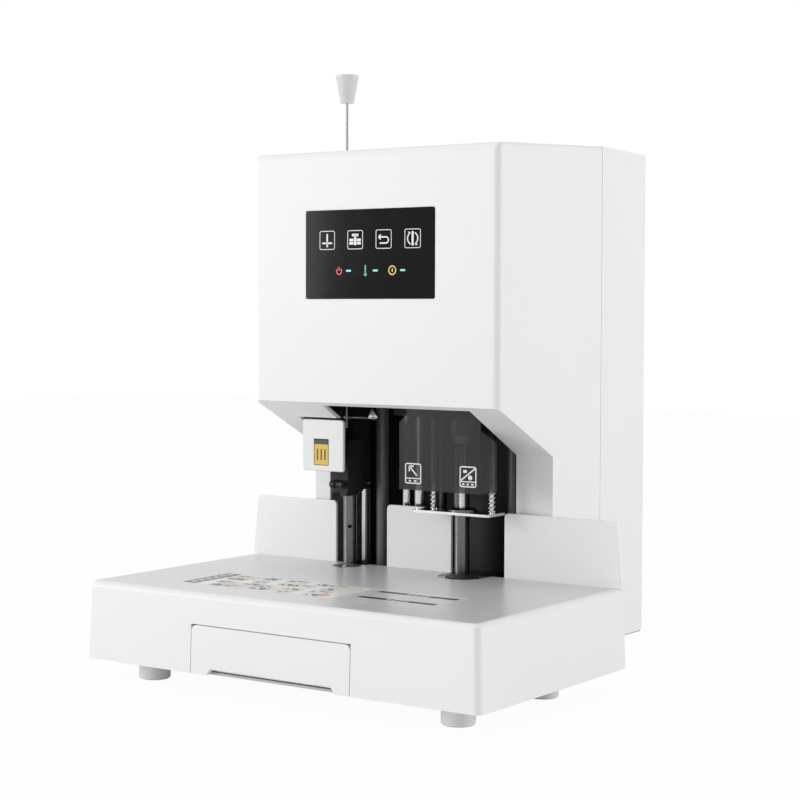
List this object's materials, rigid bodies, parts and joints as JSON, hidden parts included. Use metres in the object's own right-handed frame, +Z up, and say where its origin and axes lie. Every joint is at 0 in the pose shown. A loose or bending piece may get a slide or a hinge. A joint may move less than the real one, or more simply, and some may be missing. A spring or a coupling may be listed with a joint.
{
  "type": "document riveting machine",
  "caption": "Desk machine that drills a stack of paper and rivets it with hot plastic tube, with a table, fence, tool head, push rod and paper bin drawer.",
  "frame": {"origin": "centre of the machine's footprint, on the surface it stands on", "axes": "+Z up, +X to the operator's right, -Y towards the operator"},
  "size_m": [0.4, 0.401, 0.528],
  "materials": {
    "white_shell": "moulded satin white",
    "table_grey": "satin light grey powder coat",
    "fence_white": "satin white powder coat",
    "glass_black": "polished black touch panel",
    "circuit_green": "circuit board",
    "frame_black": "semi-matt black coat",
    "casting_black": "black coated casting",
    "chrome_steel": "ground and hard-chromed",
    "bright_steel": "machined",
    "dark_steel": "black oxide",
    "brass_head": "turned",
    "bronze_nut": "turned",
    "smoked_clear": "smoked transparent hood",
    "foot_rubber": "light grey moulded rubber",
    "knob_grey": "moulded light grey",
    "black_plastic": "moulded black",
    "belt_rubber": "toothed belt compound",
    "pulley_alloy": "turned",
    "heater_alloy": "cast heater block",
    "pad_plastic": "hard cutting pad",
    "supply_case": "folded sheet"
  },
  "bodies": {
    "machine": {"rubber_feet": "foot_rubber", "foot_screws": "bright_steel", "bottom_pan": "dark_steel", "base_housing": "white_shell", "table_plate": "table_grey", "left_fence": "fence_white", "centre_fence": "fence_white", "right_fence": "fence_white", "head_housing": "white_shell", "control_panel": "glass_black", "control_board": "circuit_green", "rear_cover": "white_shell", "frame_backplate": "frame_black", "lower_beam": "frame_black", "upper_deck": "frame_black", "rivet_main_column": "chrome_steel", "side_rods": "chrome_steel", "drill_main_column": "chrome_steel", "drill_side_rod": "chrome_steel", "frame_posts": "dark_steel", "rivet_feed_motor": "casting_black", "drill_feed_motor": "casting_black", "push_rod_bush": "knob_grey", "rivet_anvil": "casting_black", "drill_pad_seat": "casting_black", "lower_rivet_head": "brass_head", "drill_guard": "smoked_clear", "bin_runners": "black_plastic", "power_inlet": "black_plastic", "power_switch": "black_plastic", "power_supply": "supply_case"},
    "rivet_screw": {"rivet_feed_screw": "dark_steel"},
    "drill_screw": {"drill_feed_screw": "dark_steel"},
    "rivet_slide": {"rivet_slider": "casting_black", "rivet_nut": "bronze_nut", "upper_rivet_head": "brass_head", "rivet_cover": "white_shell", "rivet_heater": "heater_alloy", "tube_latch": "bright_steel"},
    "clamp": {"clamp_knob": "black_plastic"},
    "tube_rod": {"push_rod": "bright_steel", "push_rod_knob": "knob_grey"},
    "drill_slide": {"drill_carriage": "casting_black", "drill_nut": "bronze_nut", "spindle_bearings": "bright_steel", "drive_belt": "belt_rubber", "drill_motor": "dark_steel", "press_springs": "chrome_steel"},
    "spindle": {"drill_spindle": "bright_steel", "drill_chuck": "bright_steel", "hollow_drill": "bright_steel", "spindle_pulley": "pulley_alloy"},
    "motor_rotor": {"motor_shaft": "bright_steel", "motor_pulley": "pulley_alloy"},
    "press": {"press_plate": "chrome_steel", "guide_collar": "bright_steel", "press_posts": "bright_steel"},
    "bin": {"paper_bin": "white_shell"},
    "pad": {"cutting_pad": "pad_plastic"},
    "rocker": {"switch_rocker": "black_plastic"}
  },
  "joints": [
    {"name": "drill_feed", "type": "slide", "parent": "machine", "child": "drill_slide", "axis": [0, 0, -1], "range_m": [0, 0.0536]},
    {"name": "drill_screw_turn", "type": "hinge", "parent": "machine", "child": "drill_screw", "pos_m": [0.0029, 0.0455, 0.2], "axis": [0, 0, 1], "range_deg": [0, 2412.5]},
    {"name": "press_lift", "type": "slide", "parent": "drill_slide", "child": "press", "axis": [0, 0, 1], "range_m": [0, 0.05], "stiffness_N_per_m": 300, "springref_m": -0.02, "deforming": ["press_springs"]},
    {"name": "spindle_turn", "type": "hinge", "parent": "drill_slide", "child": "spindle", "pos_m": [0.0488, 0.008, 0.27], "axis": [0, 0, 1], "continuous": true},
    {"name": "motor_turn", "type": "hinge", "parent": "drill_slide", "child": "motor_rotor", "pos_m": [0.085, 0.0625, 0.33], "axis": [0, 0, 1], "continuous": true},
    {"name": "rivet_feed", "type": "slide", "parent": "machine", "child": "rivet_slide", "axis": [0, 0, -1], "range_m": [0, 0.0623]},
    {"name": "rivet_screw_turn", "type": "hinge", "parent": "machine", "child": "rivet_screw", "pos_m": [-0.088, 0.0585, 0.2], "axis": [0, 0, 1], "range_deg": [0, 2804]},
    {"name": "clamp_knob_turn", "type": "hinge", "parent": "rivet_slide", "child": "clamp", "pos_m": [-0.074, -0.0096, 0.1601], "axis": [1, 0, 0], "range_deg": [-180, 180]},
    {"name": "push_rod_slide", "type": "slide", "parent": "machine", "child": "tube_rod", "axis": [0, 0, -1], "range_m": [0, 0.04]},
    {"name": "bin_slide", "type": "slide", "parent": "machine", "child": "bin", "axis": [0, -1, 0], "range_m": [0, 0.16]},
    {"name": "pad_turn", "type": "hinge", "parent": "machine", "child": "pad", "pos_m": [0.0488, 0.008, 0.0835], "axis": [0, 0, 1], "continuous": true},
    {"name": "switch_rock", "type": "hinge", "parent": "machine", "child": "rocker", "pos_m": [-0.03, 0.1955, 0.06], "axis": [-1, 0, 0], "range_deg": [0, 14]}
  ],
  "couplings": [
    {"joint": "drill_screw_turn", "follows": "drill_feed", "rad_per_m": 785.4},
    {"joint": "rivet_screw_turn", "follows": "rivet_feed", "rad_per_m": 785.4},
    {"joint": "motor_turn", "follows": "spindle_turn", "ratio": 1.4}
  ]
}
